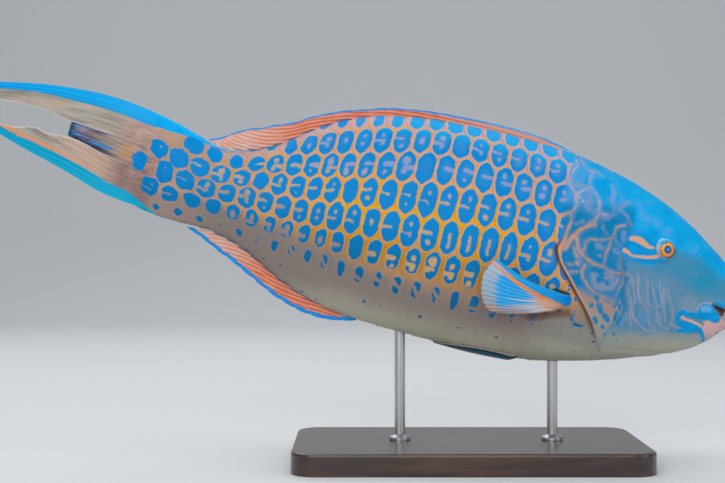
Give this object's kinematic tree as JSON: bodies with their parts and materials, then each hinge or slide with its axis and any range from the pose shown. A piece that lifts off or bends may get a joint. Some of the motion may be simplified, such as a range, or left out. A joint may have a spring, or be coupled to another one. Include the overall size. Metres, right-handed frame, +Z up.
{
  "type": "blue-barred parrotfish display model",
  "caption": "Life-size still model of a blue-barred parrotfish swimming nose down, with folded tail lobes, held on a flat base by upright rods.",
  "frame": {"origin": "middle of the display base's underside, on the floor", "axes": "+X towards the fish's head, +Y to the fish's left side, +Z up; the fish is pitched nose down 14 degrees"},
  "size_m": [0.6058, 0.14, 0.2922],
  "materials": {
    "blue_skin": "wet satin skin, turquoise blue with salmon lines",
    "scaled_flank": "wet satin scales, blue spots in a salmon and yellow net",
    "salmon_fin": "satin fin membrane with rays and a blue margin",
    "blue_fin": "satin fin membrane with rays",
    "tooth_plate": "smooth fused tooth plates",
    "eye_glass": "clear wet eye with an orange iris",
    "stand_wood": "dark satin varnish",
    "stand_steel": "brushed"
  },
  "bodies": {
    "root": {"head": "blue_skin", "gill_cover_left": "blue_skin", "gill_cover_right": "blue_skin", "trunk": "scaled_flank", "tail_stalk": "scaled_flank", "beak_upper": "tooth_plate", "beak_lower": "tooth_plate", "eye_left": "eye_glass", "eye_right": "eye_glass", "dorsal_fin": "salmon_fin", "anal_fin": "salmon_fin", "pectoral_fin_left": "blue_fin", "pectoral_fin_right": "blue_fin", "pelvic_fin_left": "salmon_fin", "pelvic_fin_right": "salmon_fin", "tail_fin_upper": "blue_fin", "tail_fin_middle": "salmon_fin", "tail_fin_lower": "salmon_fin", "stand_base": "stand_wood", "stand_rod_front": "stand_steel", "stand_rod_rear": "stand_steel"}
  },
  "joints": []
}
